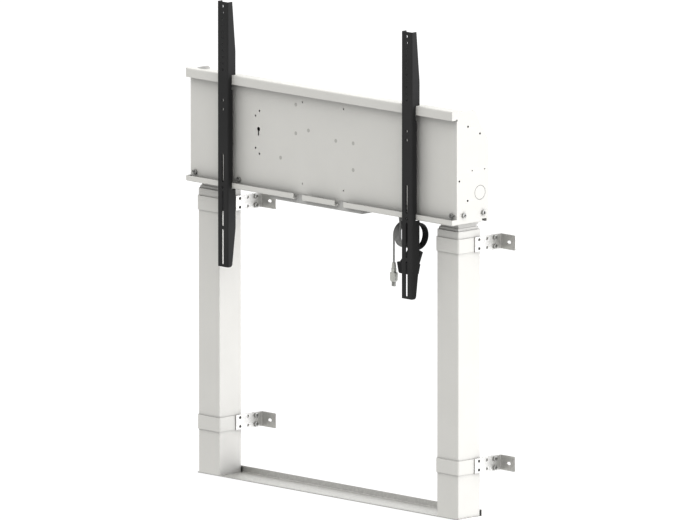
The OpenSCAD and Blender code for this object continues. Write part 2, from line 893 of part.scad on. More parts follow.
module gearbox(side) {
    shaft_h = gear_flange_t + gear_block_h - bearing_lid;
    color("dimgray") at_column(side) at_beam() translate([0, 0, tray_t]) difference() {
        union() {
            translate([-gear_flange_w / 2, -gear_flange_w / 2, 0])
                cube([gear_flange_w, gear_flange_w, gear_flange_t]);
            translate([-gear_block_w / 2, -gear_block_w / 2, 0])
                cube([gear_block_w, gear_block_w, gear_flange_t + gear_block_h]);
        }
        translate([0, 0, -past])
            cylinder(r = spindle_d / 2 + spindle_clear, h = shaft_h + past);
        translate([0, 0, gear_flange_t])
            cylinder(r = thrust_d / 2 + thrust_clear, h = thrust_t + thrust_clear);
        gear_bolt_corners() translate([0, 0, -past]) cylinder(r = bolt_hole_r, h = gear_flange_t + 2 * past);
    }
}

module gearbox_bolts() {
    color("silver") for (side = [left, right])
        at_column(side) at_beam() translate([0, 0, tray_t + gear_flange_t]) gear_bolt_corners()
            mirror([0, 0, 1]) hex_bolt(gear_flange_t + tray_t + gear_bolt_bite - gear_bolt_gap);
}

// Motor on the side of the gearbox that faces the middle of the beam
module motor(side) {
    z = tray_t + gear_flange_t + motor_clear + motor_d / 2;
    x = column_x - gear_block_w / 2 - motor_len;
    cap_r = motor_d / 2 - motor_step;
    color("dimgray") at_beam() mirror([side == right ? 0 : 1, 0, 0]) {
        rod_x(x, 0, z, cap_r, motor_len);
        rod_x(x + motor_cap_len, 0, z, motor_d / 2, motor_len - motor_cap_len);
    }
}

module control_unit() {
    lid = [control_len, control_depth, control_lid_h];
    case = [control_len - 2 * control_step, control_depth - 2 * control_step, control_h];
    color("dimgray") at_beam() {
        translate([-case.x / 2, -case.y / 2, tray_t]) cube(case);
        translate([-lid.x / 2, -lid.y / 2, tray_t + control_h - lid.z]) cube(lid);
    }
}

module at_front_bolts() {
    for (side = [left, right], x = front_bolt_x)
        translate([side * x, 0, beam_z + beam_bolt_z]) rotate([-90, 0, 0]) children();
}

module at_end_bolts() {
    for (hand = [0, 1], y = end_bolt_y)
        mirror([hand, 0, 0]) translate([0, y, beam_z + beam_bolt_z]) rotate([0, -90, 0]) children();
}

module beam_bolts() {
    color("silver") {
        at_front_bolts() translate([0, 0, -panel_front])
            hex_bolt(panel_t + tray_t + hex_nut_h + bolt_tail);
        at_end_bolts() translate([0, 0, -beam_half - end_t])
            hex_bolt(end_t + tray_t + hex_nut_h + bolt_tail / 4);
    }
}

module beam_nuts() {
    color("silver") {
        at_front_bolts() translate([0, 0, tray_t - panel_back]) hex_nut();
        at_end_bolts() translate([0, 0, tray_t - beam_half]) hex_nut();
    }
}

// Spindle with the thrust collar that carries the beam
module spindle(side) {
    gear_z = beam_z + tray_t + gear_flange_t;
    top = gear_z + gear_block_h - bearing_lid - bearing_gap;
    color("silver") at_column(side) {
        translate([0, 0, spindle_z]) cylinder(d = spindle_d, h = top - spindle_z);
        translate([0, 0, gear_z + thrust_lift]) cylinder(d = thrust_d, h = thrust_t);
    }
}

// Uprights

// Side view of an upright, with deep flanges above and below the rails and shallow ones in front of them
module upright_side() {
    front = -upright_front;
    deep = front + upright_deep;
    at_lip = front + upright_lip_depth;
    mid = front + upright_mid_depth;
    heel = [front, upright_foot];
    toe = heel + [upright_foot_depth, 0];
    taper_end = [deep, -lower_notch_gap - upright_foot_flat];
    over_rail = beam_h + rail_clear;
    under_lip = beam_h - lip_notch_h;
    polygon(concat(
        [heel, [front, upright_top], [front + upright_top_depth, upright_top]],
        [[deep, upright_top - upright_top_taper], [deep, over_rail], [at_lip, over_rail]],
        [[at_lip, under_lip], [mid, under_lip - notch_step]],
        [[mid, bottom_lip_h + notch_step], [at_lip, bottom_lip_h]],
        [[at_lip, -lower_notch_gap], [deep, -lower_notch_gap], taper_end],
        corner_arc(taper_end, toe, heel, upright_foot_r)
    ));
}

module upright_slot(low, length) {
    r = screen_slot_w / 2;
    for (z = [low + r, low + length - r])
        rod_y(0, -upright_front - past, z, r, upright_t + 2 * past);
    translate([-r, -upright_front - past, low + r])
        cube([2 * r, upright_t + 2 * past, length - 2 * r]);
}

module at_upright(side) {
    translate([side * upright_spacing / 2, 0, beam_z]) children();
}

// Both uprights are alike, with a flange on the -X side that is shallow towards the foot
module upright(side) {
    web = -upright_front + upright_t / 2;
    half = upright_w / 2 - upright_t / 2;
    rear = -upright_front + upright_deep;
    short_rear = -upright_front + short_flange_depth;
    color([0.17, 0.17, 0.17]) at_upright(side) difference() {
        intersection() {
            translate([0, 0, upright_foot]) linear_extrude(upright_len)
                folded([[-half, rear], [-half, web], [half, web], [half, rear]], upright_t, upright_bend_r);
            along_x(-upright_w, 2 * upright_w) upright_side();
        }
        translate([-upright_w, short_rear, upright_foot - past])
            cube([upright_w, upright_deep, short_flange_top - upright_foot + past]);
        for (drop = concat(screen_holes, single_holes))
            rod_y(0, -upright_front - past, upright_top - drop, screen_hole_d / 2, upright_t + 2 * past);
        for (slot = screen_slots)
            upright_slot(upright_foot + slot[0], slot[1]);
    }
}

// Hooks inside an upright that reach round the lips of both rails
module hooks(side) {
    web = -upright_front + upright_t + hook_t / 2;
    behind = -rail_front + panel_t + rail_clear + hook_t / 2;
    under = beam_h - top_lip_h - rail_clear - hook_t / 2;
    over = bottom_lip_h + rail_clear + hook_t / 2;
    half = upright_w / 2 - upright_t - upright_bend_r - hook_side_gap;
    color([0.2, 0.2, 0.2]) at_upright(side) along_x(-half, 2 * half) {
        folded([[web, beam_h - panel_t], [web, under], [behind, under], [behind, under + hook_top_reach]],
            hook_t, hook_bend_r);
        folded([[web, panel_t], [web, over], [behind, over], [behind, over - hook_bottom_reach]],
            hook_t, hook_bend_r);
    }
}

// Leads

// Gland under the beam with a tapered strain relief
module supply_gland() {
    lead_r = supply_d / 2;
    flange_r = lead_r + gland_flange;
    color("gray") at_beam() translate([supply_entry.x, supply_entry.y, 0]) rotate_extrude() polygon([
        [0, 0], [flange_r, 0], [flange_r, -gland_flange_h], [lead_r + relief_wall[0], -gland_flange_h],
        [lead_r + relief_wall[1], -supply_relief_h], [0, -supply_relief_h]
    ]);
}

module handset_grommet() {
    color("black") at_beam() translate([handset_entry.x, handset_entry.y, -handset_grommet_h])
        cylinder(r = handset_lead_d / 2 + grommet_wall, h = handset_grommet_h);
}

module supply_drop() {
    color("gray") at_beam() lead(supply_drop_route, supply_d, lead_sides);
}

module supply_coil() {
    color("gray") at_beam() lead(supply_coil_route, supply_d, coil_sides);
}

module supply_tail() {
    color("gray") at_beam() lead(supply_tail_route, supply_d, lead_sides);
}

module at_plug() {
    at_beam() translate(supply_tail_route[len(supply_tail_route) - 1]) children();
}

// Moulded connector: a round boot, a neck and a flat body with chamfered lower corners
module supply_plug() {
    half = plug_body.x / 2;
    body_top = plug_low + plug_body.z;
    color("lightgray") at_plug() {
        translate([0, 0, -plug_boot_h]) cylinder(r1 = plug_boot_r[1], r2 = plug_boot_r[0], h = plug_boot_h);
        translate([-plug_neck.x / 2, -plug_neck.y / 2, body_top]) cube(plug_neck);
        along_y(-plug_body.y / 2, plug_body.y) polygon([
            [half, body_top], [-half, body_top], [-half, plug_low + plug_chamfer],
            [plug_chamfer - half, plug_low], [half - plug_chamfer, plug_low], [half, plug_low + plug_chamfer]
        ]);
    }
}

// Flat shell under the connector's body, with a tongue in it
module plug_nose() {
    inside = [nose.x - 2 * nose_wall, nose.y - 2 * nose_wall, nose.z + 2 * past];
    color("silver") at_plug() translate([0, 0, plug_low - nose.z]) {
        difference() {
            translate([-nose.x / 2, -nose.y / 2, 0]) cube(nose);
            translate([-inside.x / 2, -inside.y / 2, -past]) cube(inside);
        }
        translate([-nose_tongue.x / 2, -nose_tongue.y / 2, nose.z - nose_tongue.z]) cube(nose_tongue);
    }
}

module handset_drop() {
    color("black") at_beam() lead(handset_drop_route, handset_lead_d, lead_sides);
}

module handset_coil() {
    color("black") at_beam() lead(handset_coil_route, handset_lead_d, coil_sides);
}

module handset_tail() {
    color("black") at_beam() lead(handset_tail_route, handset_lead_d, lead_sides);
}

// Tie round the turns of a coil, at its top
module tie(entry, d, loops, loop_r, pitch) {
    first = entry.x + 0.75 * pitch;
    final = first + (loops - 1) * pitch;
    hole = [abs(final - first) + d + 2 * tie_clear, d + 2 * tie_clear];
    translate([(first + final) / 2, -tie_w / 2, coil_z + loop_r]) along_y(0, tie_w) difference() {
        square(hole + 2 * [tie_t, tie_t], center = true);
        square(hole, center = true);
    }
}

module cord_ties() {
    color("black") at_beam() {
        tie(supply_entry, supply_d, supply_loops, supply_loop_r, supply_pitch);
        tie(handset_entry, handset_lead_d, handset_loops, handset_loop_r, handset_pitch);
    }
}

// Handset

module at_handset() {
    translate([handset_x, 0, beam_z + handset_z]) children();
}

// Side view of the handset's flat neck, which leans back from the rear edge of the block
module neck_side() {
    root = [handset_t / 2 - neck_t, handset_block_h];
    across = neck_t * [cos(neck_lean), -sin(neck_lean)];
    up = neck_len * [sin(neck_lean), cos(neck_lean)];
    polygon([root, root + across, root + across + up, root + up]);
}

module handset() {
    color([0.12, 0.12, 0.12]) at_handset() {
        difference() {
            union() {
                along_y(-handset_t / 2, handset_t) polygon(rounded(handset_front, handset_corner_r));
                intersection() {
                    along_x(-handset_half, 2 * handset_half) neck_side();
                    along_y(-handset_t, 4 * handset_t) polygon(rounded(neck_front, handset_corner_r));
                }
            }
            for (x = [-button_x, button_x])
                rod_y(x, -handset_t / 2 - past, button_z, button_d / 2 + button_clear, button_pocket + past);
        }
        translate([handset_relief.x, handset_relief.y, handset_block_h])
            cylinder(r1 = handset_relief_r[0], r2 = handset_relief_r[1], h = handset_relief_h);
    }
}

module button(hand) {
    color("gray") at_handset()
        rod_y(hand * button_x, -handset_t / 2 - button_proud, button_z, button_d / 2,
            button_proud + button_pocket - button_gap_below);
}

floor_channel();
outer_tube(left);  // left_outer_tube
outer_tube(right);  // right_outer_tube
collar(left);  // left_collar
collar(right);  // right_collar
upper_guides();
nut_post(left);  // left_nut_post
nut_post(right);  // right_nut_post
drive_nuts();
strap(left, upper_strap_z);  // left_upper_strap
strap(left, lower_strap_z);  // left_lower_strap
strap(right, upper_strap_z);  // right_upper_strap
strap(right, lower_strap_z);  // right_lower_strap
wall_brackets(left, upper_strap_z);  // left_upper_brackets
wall_brackets(left, lower_strap_z);  // left_lower_brackets
wall_brackets(right, upper_strap_z);  // right_upper_brackets
wall_brackets(right, lower_strap_z);  // right_lower_brackets
bracket_bolts();
bracket_nuts();
column_screws();
inner_tube(left);  // left_inner_tube
inner_tube(right);  // right_inner_tube
lower_glides();
head_plates();
beam_tray();
front_panel();
end_plate(left);  // left_end_plate
end_plate(right);  // right_end_plate
rear_cover();
cable_tray();
gearbox(left);  // left_gearbox
gearbox(right);  // right_gearbox
motor(left);  // left_motor
motor(right);  // right_motor
control_unit();
knockout_discs();
beam_bolts();
beam_nuts();
gearbox_bolts();
spindle(left);  // left_spindle
spindle(right);  // right_spindle
upright(left);  // left_upright
upright(right);  // right_upright
hooks(left);  // left_hooks
hooks(right);  // right_hooks
supply_gland();
supply_drop();
supply_coil();
supply_tail();
supply_plug();
plug_nose();
handset_grommet();
handset_drop();
handset_coil();
handset_tail();
cord_ties();
handset();
button(right);  // up_button
button(left);  // down_button
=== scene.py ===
"""Looks of the motorised screen lift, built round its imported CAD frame. Lengths are in metres."""

import json
import math

import bmesh
import bpy
from mathutils import Matrix, Vector


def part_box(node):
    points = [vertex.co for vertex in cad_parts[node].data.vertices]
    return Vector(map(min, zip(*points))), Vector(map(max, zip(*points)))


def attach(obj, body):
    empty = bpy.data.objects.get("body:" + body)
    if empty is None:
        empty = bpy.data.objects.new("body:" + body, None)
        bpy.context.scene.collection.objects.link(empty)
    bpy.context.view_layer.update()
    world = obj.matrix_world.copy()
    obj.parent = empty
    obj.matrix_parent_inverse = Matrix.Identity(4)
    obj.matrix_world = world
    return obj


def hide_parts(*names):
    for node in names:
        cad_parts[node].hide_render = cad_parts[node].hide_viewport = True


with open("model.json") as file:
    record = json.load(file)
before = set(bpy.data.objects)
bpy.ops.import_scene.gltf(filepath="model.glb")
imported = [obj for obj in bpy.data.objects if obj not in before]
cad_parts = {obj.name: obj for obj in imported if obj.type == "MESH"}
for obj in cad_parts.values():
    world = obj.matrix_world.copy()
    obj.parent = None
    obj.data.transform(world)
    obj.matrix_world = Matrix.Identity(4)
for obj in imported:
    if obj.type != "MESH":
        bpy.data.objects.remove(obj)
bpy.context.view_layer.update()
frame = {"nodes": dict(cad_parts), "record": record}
nodes = frame["nodes"]
slot_of = {part["node"]: part["material_slot"] for part in frame["record"]["subparts"]}
scene = bpy.context.scene

DECIMALS = 5


def node_box(name):
    """Lowest and highest corner of a CAD node, rounded to a hundredth of a millimetre."""
    low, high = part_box(name)
    return [round(v, DECIMALS) for v in low], [round(v, DECIMALS) for v in high]


panel_low, panel_high = node_box("front_panel")
beam_z = panel_low[2]


# Camera with a very long lens, because the photograph shows no perspective

IMAGE_WIDTH = 700
PIXELS_PER_METRE = 358.8
AZIMUTH = math.radians(46.5)
ELEVATION = math.radians(9.53)
AIM = Vector((0.0462, 0.0, 0.670))
LENS = 1200.0
SENSOR = 36.0
CLIP_START = 1.0


def make_camera():
    level = math.cos(ELEVATION)
    back = Vector((math.sin(AZIMUTH) * level, -math.cos(AZIMUTH) * level, math.sin(ELEVATION)))
    distance = IMAGE_WIDTH / PIXELS_PER_METRE * LENS / SENSOR
    data = bpy.data.cameras.new("camera")
    data.lens = LENS
    data.sensor_width = SENSOR
    data.clip_start = CLIP_START
    data.clip_end = 2 * distance
    camera = bpy.data.objects.new("camera", data)
    scene.collection.objects.link(camera)
    camera.location = AIM + back * distance
    camera.rotation_mode = "QUATERNION"
    camera.rotation_quaternion = (-back).to_track_quat("-Z", "Y")
    scene.camera = camera


make_camera()


# Materials: one for each slot of the record, and a few that only this script uses

NOISE_LOW = 0.3
NOISE_HIGH = 0.7
SLOW_DETAIL = 3.0
GRAIN_DETAIL = 2.0
BUMP_STRENGTH = 0.5
SHEET_GRAIN = 700.0
SHEET_DEPTH = 0.00004
SPANGLE_SCALE = 160.0
SPANGLE_DARK = 0.95
SPANGLE_LIGHT = 1.04


def noise(tree, coords, scale, detail):
    node = tree.nodes.new("ShaderNodeTexNoise")
    node.inputs["Scale"].default_value = scale
    node.inputs["Detail"].default_value = detail
    tree.links.new(coords, node.inputs["Vector"])
    return node.outputs["Fac"]


def stretch(tree, value, low, high):
    """Noise stretched from its usual span to the span from low to high."""
    node = tree.nodes.new("ShaderNodeMapRange")
    node.inputs["From Min"].default_value = NOISE_LOW
    node.inputs["From Max"].default_value = NOISE_HIGH
    node.inputs["To Min"].default_value = low
    node.inputs["To Max"].default_value = high
    tree.links.new(value, node.inputs["Value"])
    return node.outputs["Result"]


def blend_colours(tree, factor, first, second):
    node = tree.nodes.new("ShaderNodeMix")
    node.data_type = "RGBA"
    colour_a = [s for s in node.inputs if s.name == "A" and s.type == "RGBA"][0]
    colour_b = [s for s in node.inputs if s.name == "B" and s.type == "RGBA"][0]
    colour_a.default_value = first
    colour_b.default_value = second
    tree.links.new(factor, node.inputs["Factor"])
    return [s for s in node.outputs if s.type == "RGBA"][0]


def coat(
    name, colour, roughness, metallic=0.0, shine=0.5, grain=900.0, depth=0.00008, shade=0.04, blotch=9.0
):
    """Finish with a fine grain, a slow change of shade, and a roughness that follows the grain.

    Grain and blotch are the scales of the fine and the slow noise, depth is the height of the grain,
    and shade is the share by which the colour changes.
    """
    made = bpy.data.materials.new(name)
    made.use_nodes = True
    tree = made.node_tree
    shader = tree.nodes["Principled BSDF"]
    coords = tree.nodes.new("ShaderNodeTexCoord").outputs["Object"]
    dark = [c * (1 - shade) for c in colour] + [1.0]
    light = [min(1.0, c * (1 + shade)) for c in colour] + [1.0]
    slow = stretch(tree, noise(tree, coords, blotch, SLOW_DETAIL), 0.0, 1.0)
    tree.links.new(blend_colours(tree, slow, dark, light), shader.inputs["Base Color"])
    fine = noise(tree, coords, grain, GRAIN_DETAIL)
    rough = stretch(tree, fine, roughness[0], roughness[1])
    tree.links.new(rough, shader.inputs["Roughness"])
    shader.inputs["Metallic"].default_value = metallic
    shader.inputs["Specular IOR Level"].default_value = shine
    bump = tree.nodes.new("ShaderNodeBump")
    bump.inputs["Strength"].default_value = BUMP_STRENGTH
    bump.inputs["Distance"].default_value = depth
    tree.links.new(fine, bump.inputs["Height"])
    tree.links.new(bump.outputs["Normal"], shader.inputs["Normal"])
    return made


def galvanised(name, colour, roughness, metallic):
    """Zinc coated sheet, with a spangle of crystals a few millimetres across."""
    made = coat(name, colour, roughness, metallic=metallic, grain=SHEET_GRAIN, depth=SHEET_DEPTH)
    tree = made.node_tree
    shader = tree.nodes["Principled BSDF"]
    coords = tree.nodes["Texture Coordinate"].outputs["Object"]
    cells = tree.nodes.new("ShaderNodeTexVoronoi")
    cells.inputs["Scale"].default_value = SPANGLE_SCALE
    tree.links.new(coords, cells.inputs["Vector"])
    dark = [SPANGLE_DARK * c for c in colour] + [1.0]
    light = [SPANGLE_LIGHT * c for c in colour] + [1.0]
    tree.links.new(blend_colours(tree, cells.outputs["Color"], dark, light), shader.inputs["Base Color"])
    return made


COATS = {
    "white_steel": dict(colour=(0.85, 0.842, 0.808), roughness=(0.40, 0.55), shade=0.012),
    "black_steel": dict(colour=(0.070, 0.070, 0.070), roughness=(0.42, 0.58), shade=0.06, shine=0.2),
    "zinc_steel": dict(colour=(0.52, 0.52, 0.505), roughness=(0.30, 0.45), metallic=0.8, blotch=60.0),
    "plain_steel": dict(colour=(0.56, 0.56, 0.56), roughness=(0.22, 0.38), metallic=1.0),
    "cast_aluminium": dict(colour=(0.55, 0.55, 0.56), roughness=(0.45, 0.6), metallic=1.0, grain=500.0),
    "dark_steel": dict(colour=(0.05, 0.05, 0.05), roughness=(0.35, 0.5)),
    "bronze": dict(colour=(0.55, 0.38, 0.16), roughness=(0.25, 0.4), metallic=1.0),
    "shoe_plastic": dict(colour=(0.05, 0.05, 0.05), roughness=(0.4, 0.55)),
    "case_plastic": dict(colour=(0.055, 0.055, 0.057), roughness=(0.42, 0.6), grain=1600.0, shine=0.3),
    "button_plastic": dict(colour=(0.03, 0.03, 0.03), roughness=(0.4, 0.5), grain=1600.0),
    "grey_lead": dict(colour=(0.46, 0.46, 0.45), roughness=(0.5, 0.65), grain=1400.0),
    "plug_plastic": dict(colour=(0.71, 0.715, 0.675), roughness=(0.45, 0.6), grain=1400.0),
    "nose_metal": dict(colour=(0.45, 0.45, 0.43), roughness=(0.4, 0.55), metallic=0.5),
    "black_lead": dict(colour=(0.055, 0.055, 0.055), roughness=(0.45, 0.6), grain=1400.0),
    "panel_dot_grey": dict(colour=(0.64, 0.63, 0.60), roughness=(0.5, 0.65), shade=0.05),
    # Painted shade: the dark grey of the shadow in the knock-out grooves
    "groove_shade": dict(colour=(0.25, 0.25, 0.24), roughness=(0.5, 0.65), shade=0.05),
}
SHEETS = {
    "grey_steel": dict(colour=(0.73, 0.726, 0.707), roughness=(0.42, 0.57), metallic=0.9),
    "tray_steel": dict(colour=(0.66, 0.656, 0.639), roughness=(0.50, 0.65), metallic=0.1),
}

finishes = {name: coat(name, **look) for name, look in COATS.items()}
finishes |= {name: galvanised(name, **look) for name, look in SHEETS.items()}

for name, node in nodes.items():
    node.data.materials.clear()
    node.data.materials.append(finishes[slot_of[name]])
nodes["cable_tray"].data.materials[0] = finishes["tray_steel"]


# Leads, with heights measured from the beam's underside

COIL_Z = -0.063
LOOP_STEPS = 24
SHEATH_ROUNDNESS = 6
SHEATH_STEPS = 4
STRAIGHT_STEPS = 4
SUPPLY_D = 0.005
SUPPLY_ENTRY = (0.2855, -0.034)
SUPPLY_LOOPS = 5
SUPPLY_PITCH = -0.0053
SUPPLY_RELIEF = -0.022
PLUG_Z = -0.140
HANDSET_D = 0.005
HANDSET_ENTRY = (0.3017, -0.036)
HANDSET_LOOPS = 4
HANDSET_PITCH = 0.0057
HANDSET_RELIEF = -0.006
HANDSET_TAIL = [
    (0.3245, -0.036, -0.072), (0.3243, -0.0366, -0.078), (0.3233, -0.036, -0.0845),
    (0.3215, -0.0333, -0.0915), (0.319, -0.027, -0.099), (0.316, -0.0185, -0.107),
    (0.313, -0.0105, -0.115), (0.311, -0.006, -0.123), (0.310, -0.004, -0.130),
]


def straight(x, y, high, low):
    return [(x, y, high + (low - high) * k / STRAIGHT_STEPS) for k in range(STRAIGHT_STEPS + 1)]


def coil(entry, loops, pitch):
    """Loops round the X direction, centred on Y = 0, that start by coming down at the entry point."""
    points = []
    for k in range(loops * LOOP_STEPS + 1):
        turn = k / LOOP_STEPS
        angle = 2 * math.pi * turn
        points.append((
            entry[0] + pitch * turn,
            entry[1] * math.cos(angle),
            COIL_Z + entry[1] * math.sin(angle),
        ))
    return points


def lead(name, route, diameter, finish):
    """Round sheath on one smooth line through the route's points."""
    curve = bpy.data.curves.new(name, "CURVE")
    curve.dimensions = "3D"
    curve.bevel_depth = diameter / 2
    curve.bevel_resolution = SHEATH_ROUNDNESS
    curve.resolution_u = SHEATH_STEPS
    curve.use_fill_caps = True
    spline = curve.splines.new("BEZIER")
    spline.bezier_points.add(len(route) - 1)
    for point, place in zip(spline.bezier_points, route):
        point.co = (place[0], place[1], place[2] + beam_z)
        point.handle_left_type = "AUTO"
        point.handle_right_type = "AUTO"
    made = bpy.data.objects.new(name, curve)
    scene.collection.objects.link(made)
    curve.materials.append(finishes[finish])
    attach(made, "carriage")
    return made


supply_end_x = SUPPLY_ENTRY[0] + SUPPLY_LOOPS * SUPPLY_PITCH
supply_route = (
    straight(*SUPPLY_ENTRY, SUPPLY_RELIEF, COIL_Z + SUPPLY_D)
    + coil(SUPPLY_ENTRY, SUPPLY_LOOPS, SUPPLY_PITCH)
    + straight(supply_end_x, SUPPLY_ENTRY[1], COIL_Z - SUPPLY_D, PLUG_Z)
)
supply_lead = lead("supply_lead", supply_route, SUPPLY_D, "grey_lead")
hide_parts("supply_drop", "supply_coil", "supply_tail")
handset_end_x = HANDSET_ENTRY[0] + HANDSET_LOOPS * HANDSET_PITCH
handset_route = (
    straight(*HANDSET_ENTRY, HANDSET_RELIEF, COIL_Z + HANDSET_D)
    + coil(HANDSET_ENTRY, HANDSET_LOOPS, HANDSET_PITCH)
    + [(handset_end_x, HANDSET_ENTRY[1], COIL_Z - HANDSET_D)]
    + HANDSET_TAIL
)
handset_lead = lead("handset_lead", handset_route, HANDSET_D, "black_lead")
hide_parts("handset_drop", "handset_coil", "handset_tail")


# Mesh pieces

SHARP = math.radians(32)
EDGE_STEPS = 3
EDGE_PROFILE = 0.5
TURNED_SIDES = 40


def add_piece(name, form, finish, body, replaced=()):
    mesh = bpy.data.meshes.new(name)
    bmesh.ops.recalc_face_normals(form, faces=form.faces)
    form.to_mesh(mesh)
    form.free()
    mesh.materials.append(finishes[finish])
    mesh.shade_smooth()
    mesh.set_sharp_from_angle(angle=SHARP)
    made = bpy.data.objects.new(name, mesh)
    scene.collection.objects.link(made)
    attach(made, body)
    if replaced:
        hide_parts(*replaced)
    return made


def skin(form, rings):
    """Closed skin over rings of equal counts of points, with a flat end at both ends. Gives its points."""
    rows = [[form.verts.new(point) for point in ring] for ring in rings]
    count = len(rows[0])
    for low, high in zip(rows, rows[1:]):
        for k in range(count):
            after = (k + 1) % count
            form.faces.new((low[k], low[after], high[after], high[k]))
    form.faces.new(list(reversed(rows[0])))
    form.faces.new(rows[-1])
    return [point for row in rows for point in row]


def circle(radius, height, sides):
    angles = [2 * math.pi * k / sides for k in range(sides)]
    return [Vector((radius * math.cos(angle), radius * math.sin(angle), height)) for angle in angles]


def lathe(form, profile, place, sides=TURNED_SIDES):
    """Turned solid. The profile lists radius and height, and place carries its axis from +Z."""
    skin(form, [[place @ point for point in circle(r, z, sides)] for r, z in profile])


def block(form, outline, depth, edge, place):
    """Prism over an (X, Z) outline, centred in Y, with all its edges rounded."""
    ends = [[place @ Vector((x, y, z)) for x, z in outline] for y in (-depth / 2, depth / 2)]
    points = skin(form, ends)
    edges = list({line for point in points for line in point.link_edges})
    bmesh.ops.bevel(
        form, geom=edges, offset=edge, segments=EDGE_STEPS, profile=EDGE_PROFILE, affect="EDGES"
    )


def facing(direction, origin):
    """Place at the origin, with +Z turned to the direction."""
    return Matrix.Translation(origin) @ Vector(direction).to_track_quat("Z", "Y").to_matrix().to_4x4()


# Hex bolts with chamfered and recessed heads, in place of the plain prisms

BOLT_D = 0.008
BOLT_END = 0.0008
HEX_ACROSS = 0.013
HEX_H = 0.0053
HEX_SIDES = 48
FACE_SHARE = 0.94
CHAMFER_SLOPE = math.tan(math.radians(30))
WASHER_SHARE = 0.97
WASHER_H = 0.0004
RECESS_R = 0.0042
RECESS_EDGE = 0.0003
RECESS_DEPTH = 0.003


def hex_ring(height_at):
    """Points of the hexagon, each at the height that height_at gives for its radius."""
    points = []
    for k in range(HEX_SIDES):
        angle = 2 * math.pi * k / HEX_SIDES
        off_flat = (angle % (math.pi / 3)) - math.pi / 6
        radius = HEX_ACROSS / 2 / math.cos(off_flat)
        points.append(Vector((radius * math.cos(angle), radius * math.sin(angle), height_at(radius))))
    return points


def hex_bolt(form, place, shank):
    """Bolt with its head along +Z from place and its shank along -Z."""
    face_r = FACE_SHARE * HEX_ACROSS / 2
    washer_r = WASHER_SHARE * HEX_ACROSS / 2
    rings = [
        circle(BOLT_D / 2 - BOLT_END, -shank, HEX_SIDES),
        circle(BOLT_D / 2, BOLT_END - shank, HEX_SIDES),
        circle(BOLT_D / 2, 0.0, HEX_SIDES),
        circle(washer_r, 0.0, HEX_SIDES),
        circle(washer_r, WASHER_H, HEX_SIDES),
        hex_ring(lambda radius: WASHER_H),
        hex_ring(lambda radius: HEX_H - (radius - face_r) * CHAMFER_SLOPE),
        circle(face_r, HEX_H, HEX_SIDES),
        circle(RECESS_R, HEX_H, HEX_SIDES),
        circle(RECESS_R - RECESS_EDGE, HEX_H - RECESS_EDGE, HEX_SIDES),
        circle(RECESS_R - RECESS_EDGE, HEX_H - RECESS_DEPTH, HEX_SIDES),
    ]
    skin(form, [[place @ point for point in ring] for ring in rings])


PANEL_T = 0.0025
BEAM_BOLT_RISE = 0.026
FRONT_BOLT_X = (0.340, 0.519)
END_BOLT_Y = (-0.034, 0.041)
FRONT_SHANK = 0.014
END_SHANK = 0.013
BRACKET_T = 0.003
BRACKET_BOLT_PITCH = 0.025
BRACKET_SHANK = 0.0145

panel_y = panel_high[1] - PANEL_T
_, end_high = node_box("right_end_plate")
end_x = end_high[0]
beam_bolt_z = beam_z + BEAM_BOLT_RISE
strap_low, strap_high = node_box("right_upper_strap")
bolts_low, bolts_high = node_box("bracket_bolts")
column_x = (strap_low[0] + strap_high[0]) / 2
bracket_bolt_y = (bolts_low[1] + bolts_high[1]) / 2
bracket_face = (strap_high[0] - strap_low[0]) / 2 + BRACKET_T
bracket_bolt_z = []
for name in ("right_lower_brackets", "right_upper_brackets"):
    low, high = node_box(name)
    middle = (low[2] + high[2]) / 2
    bracket_bolt_z += [middle - BRACKET_BOLT_PITCH / 2, middle + BRACKET_BOLT_PITCH / 2]

beam_bolts = bmesh.new()
bracket_bolts = bmesh.new()
for side in (-1, 1):
    for x in FRONT_BOLT_X:
        hex_bolt(beam_bolts, facing((0, -1, 0), (side * x, panel_y, beam_bolt_z)), FRONT_SHANK)
    for y in END_BOLT_Y:
        hex_bolt(beam_bolts, facing((side, 0, 0), (side * end_x, y, beam_bolt_z)), END_SHANK)
    for hand in (-1, 1):
        for z in bracket_bolt_z:
            origin = (side * column_x + hand * bracket_face, bracket_bolt_y, z)
            hex_bolt(bracket_bolts, facing((hand, 0, 0), origin), BRACKET_SHANK)
add_piece("beam_hex_bolts", beam_bolts, "zinc_steel", "carriage", ["beam_bolts"])
add_piece("bracket_hex_bolts", bracket_bolts, "zinc_steel", "base", ["bracket_bolts"])


# Faint round marks on the panel: low domes in a grey darker than the panel's paint

MARK_R = 0.0055
MARK_H = 0.0004
MARK_SIDES = 24
# Shares of the radius and of the height
MARK_PROFILE = [(1.0, 0.0), (0.8, 0.6), (0.45, 1.0), (0.2, 0.8)]
MARKS = [
    (-0.110, 1.097), (-0.059, 1.030), (-0.110, 1.016), (0.052, 1.014), (0.122, 1.015), (-0.172, 0.940),
    (0.122, 0.940),
]

marks = bmesh.new()
for x, z in MARKS:
    profile = [(r * MARK_R, h * MARK_H) for r, h in MARK_PROFILE]
    lathe(marks, profile, facing((0, -1, 0), (x, panel_y, z)), MARK_SIDES)
add_piece("panel_marks", marks, "panel_dot_grey", "carriage")


# Thin dark rings over the groove round each knock-out disc: painted shade that stands in for the groove's
# shadow

KNOCKOUT_R = 0.01985
RING_HALF = 0.0006
RING_H = 0.0003
RING_TUBE_SIDES = 8
RING_STEPS = 96


def knockout_shadow_ring(form, side):
    low, high = node_box("knockout_discs")
    place = facing((side, 0, 0), (side * end_x, (low[1] + high[1]) / 2, (low[2] + high[2]) / 2))
    rows = []
    for k in range(RING_TUBE_SIDES):
        angle = 2 * math.pi * k / RING_TUBE_SIDES
        radius = KNOCKOUT_R + RING_HALF * math.cos(angle)
        ring = circle(radius, RING_H * math.sin(angle), RING_STEPS)
        rows.append([form.verts.new(place @ point) for point in ring])
    for row, after in zip(rows, rows[1:] + rows[:1]):
        for k in range(RING_STEPS):
            following = (k + 1) % RING_STEPS
            form.faces.new((row[k], row[following], after[following], after[k]))


